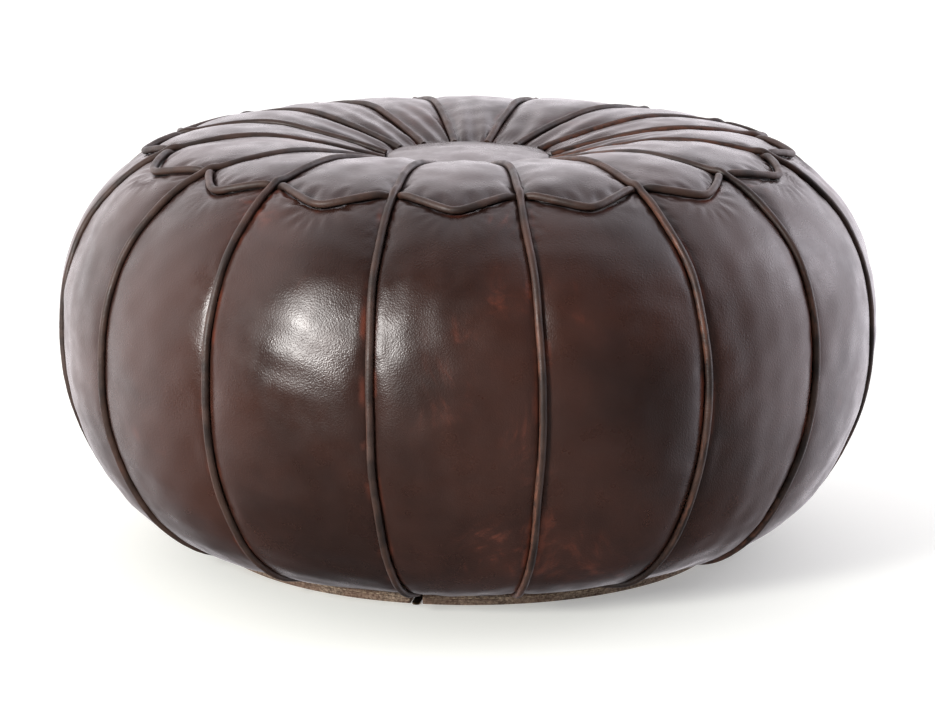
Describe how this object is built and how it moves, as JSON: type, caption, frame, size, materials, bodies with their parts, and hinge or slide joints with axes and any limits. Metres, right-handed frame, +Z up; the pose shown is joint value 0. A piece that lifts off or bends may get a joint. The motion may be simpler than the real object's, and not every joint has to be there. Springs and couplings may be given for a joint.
{
  "type": "moroccan leather pouf",
  "caption": "Round stuffed leather floor pouf with corded radial seams, a petal yoke, a dimpled seat disc and a zipped suede base.",
  "frame": {"origin": "centre of the base on the floor, under the middle of the seat", "axes": "+Z up through the seat's disc; -Y is the front; seam 01 lies 13.1 degrees to the left of the front"},
  "size_m": [0.6008, 0.6008, 0.3052],
  "materials": {
    "leather_wall": "satin",
    "leather_petal": "satin",
    "leather_piping": "satin",
    "suede_base": "matte",
    "zip_tape": "matte",
    "zip_metal": "satin",
    "lining": "matte",
    "fibre_fill": "matte"
  },
  "bodies": {
    "pouf": {"wall_gore_01": "leather_wall", "petal_01": "leather_petal", "seam_piping_01": "leather_piping", "wall_gore_02": "leather_wall", "petal_02": "leather_petal", "seam_piping_02": "leather_piping", "wall_gore_03": "leather_wall", "petal_03": "leather_petal", "seam_piping_03": "leather_piping", "wall_gore_04": "leather_wall", "petal_04": "leather_petal", "seam_piping_04": "leather_piping", "wall_gore_05": "leather_wall", "petal_05": "leather_petal", "seam_piping_05": "leather_piping", "wall_gore_06": "leather_wall", "petal_06": "leather_petal", "seam_piping_06": "leather_piping", "wall_gore_07": "leather_wall", "petal_07": "leather_petal", "seam_piping_07": "leather_piping", "wall_gore_08": "leather_wall", "petal_08": "leather_petal", "seam_piping_08": "leather_piping", "wall_gore_09": "leather_wall", "petal_09": "leather_petal", "seam_piping_09": "leather_piping", "wall_gore_10": "leather_wall", "petal_10": "leather_petal", "seam_piping_10": "leather_piping", "wall_gore_11": "leather_wall", "petal_11": "leather_petal", "seam_piping_11": "leather_piping", "wall_gore_12": "leather_wall", "petal_12": "leather_petal", "seam_piping_12": "leather_piping", "wall_gore_13": "leather_wall", "petal_13": "leather_petal", "seam_piping_13": "leather_piping", "wall_gore_14": "leather_wall", "petal_14": "leather_petal", "seam_piping_14": "leather_piping", "wall_gore_15": "leather_wall", "petal_15": "leather_petal", "seam_piping_15": "leather_piping", "wall_gore_16": "leather_wall", "petal_16": "leather_petal", "seam_piping_16": "leather_piping", "petal_piping": "leather_piping", "top_disc": "leather_petal", "filling_bag": "lining", "filling": "fibre_fill", "base_welt": "suede_base", "base_half_left": "suede_base", "base_half_right": "suede_base", "zip_half_left": "zip_tape", "zip_half_right": "zip_tape", "zip_stop": "zip_metal"},
    "slider": {"zip_slider": "zip_metal"},
    "pull": {"zip_pull": "zip_metal"}
  },
  "joints": [
    {"name": "zip_slide", "type": "slide", "parent": "pouf", "child": "slider", "axis": [0.1839, 0.9829, 0], "range_m": [0, 0.318]},
    {"name": "pull_swing", "type": "hinge", "parent": "slider", "child": "pull", "pos_m": [-0.02943, -0.15727, 0.0024], "axis": [0.9829, -0.1839, 0], "range_deg": [-3, 160]}
  ]
}
